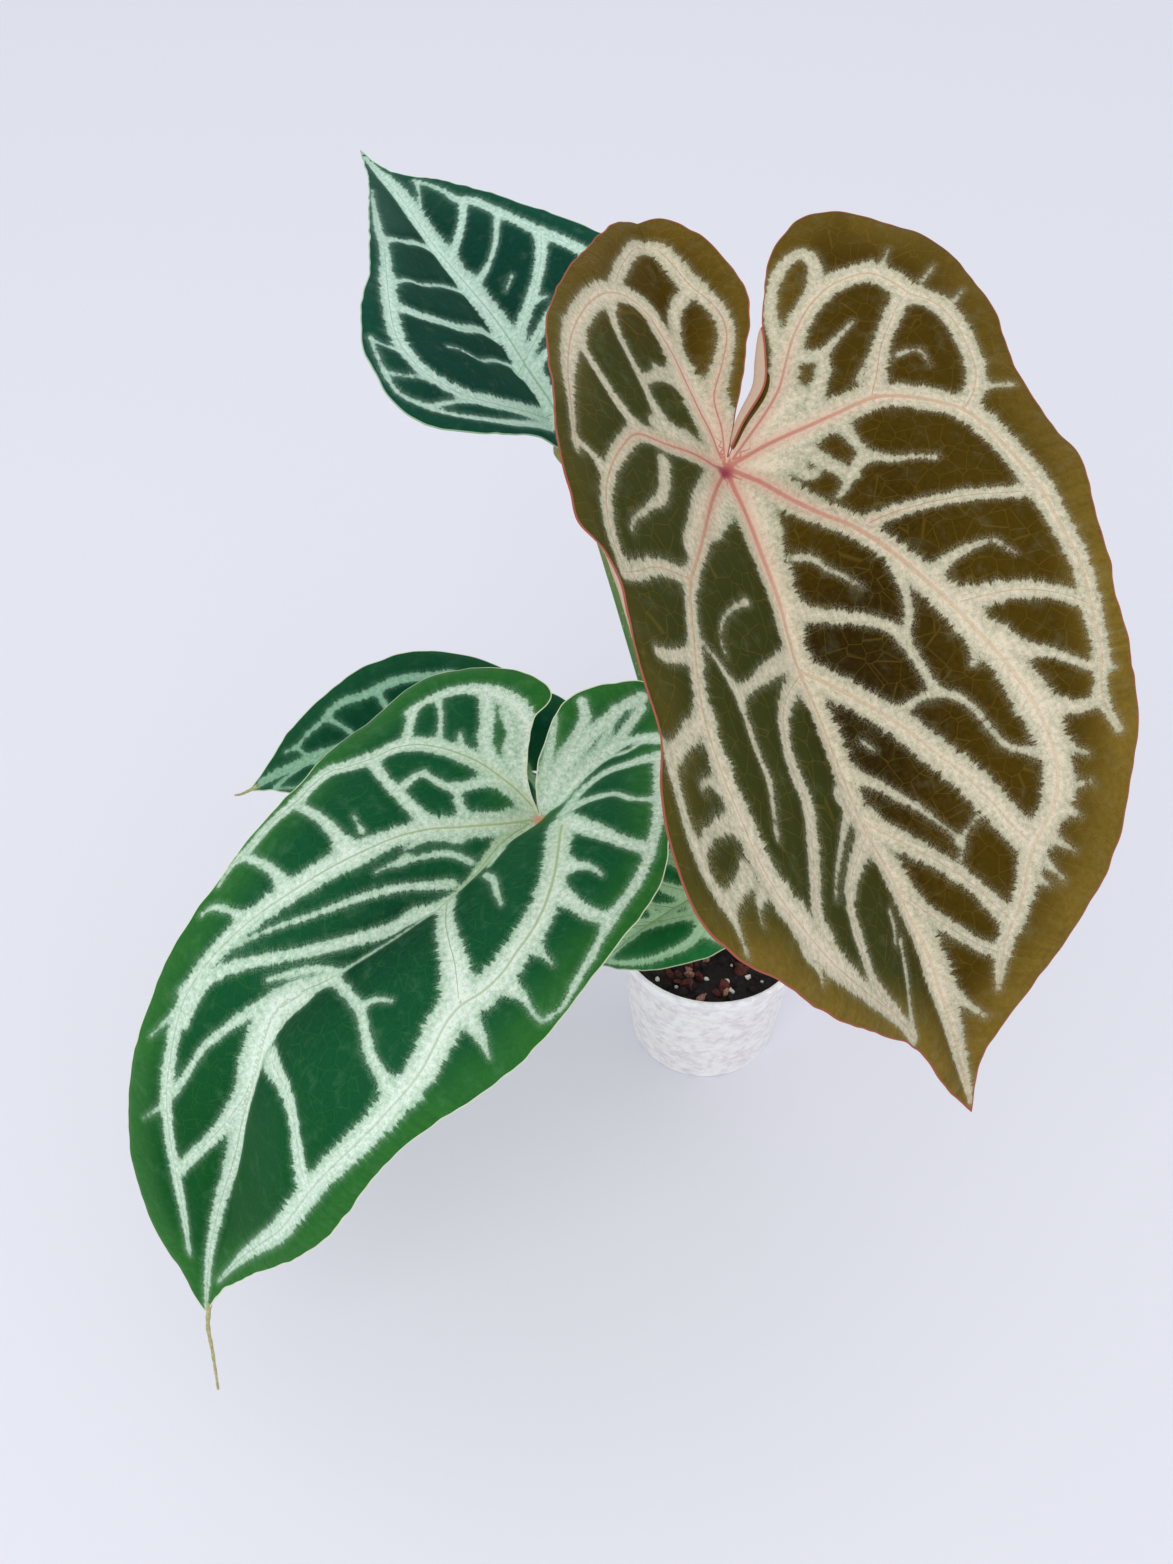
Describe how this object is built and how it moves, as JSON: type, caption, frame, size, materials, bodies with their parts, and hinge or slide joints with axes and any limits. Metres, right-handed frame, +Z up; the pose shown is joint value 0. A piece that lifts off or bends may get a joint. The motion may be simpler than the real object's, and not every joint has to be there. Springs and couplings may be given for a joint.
{
  "type": "potted anthurium plant",
  "caption": "Living foliage plant in a small translucent nursery pot, with heart-shaped, silver-veined leaves on long stalks above bark mix.",
  "frame": {"origin": "middle of the pot's flat base, on the surface that the pot stands on", "axes": "+Z up, +X to the right in the picture, +Y away from the viewer"},
  "size_m": [0.3798, 0.5094, 0.4604],
  "materials": {
    "pot": "frosted translucent polypropylene, slightly mottled by what it holds",
    "potting_mix": "dark damp bark mix with red-brown chips and white grains",
    "stem": "green-brown ringed stem",
    "bronze_leaf": "satin bronze leaf with cream veins and pink ribs",
    "green_leaf": "satin deep green leaf with mint-silver veins",
    "dark_leaf": "satin blue-green leaf with mint veins"
  },
  "bodies": {
    "root": {"pot": "pot", "potting_mix": "potting_mix", "stem": "stem", "leaf_bronze": "bronze_leaf", "leaf_green": "green_leaf", "leaf_dark": "dark_leaf", "leaf_low": "green_leaf", "leaf_small": "green_leaf"}
  },
  "joints": []
}
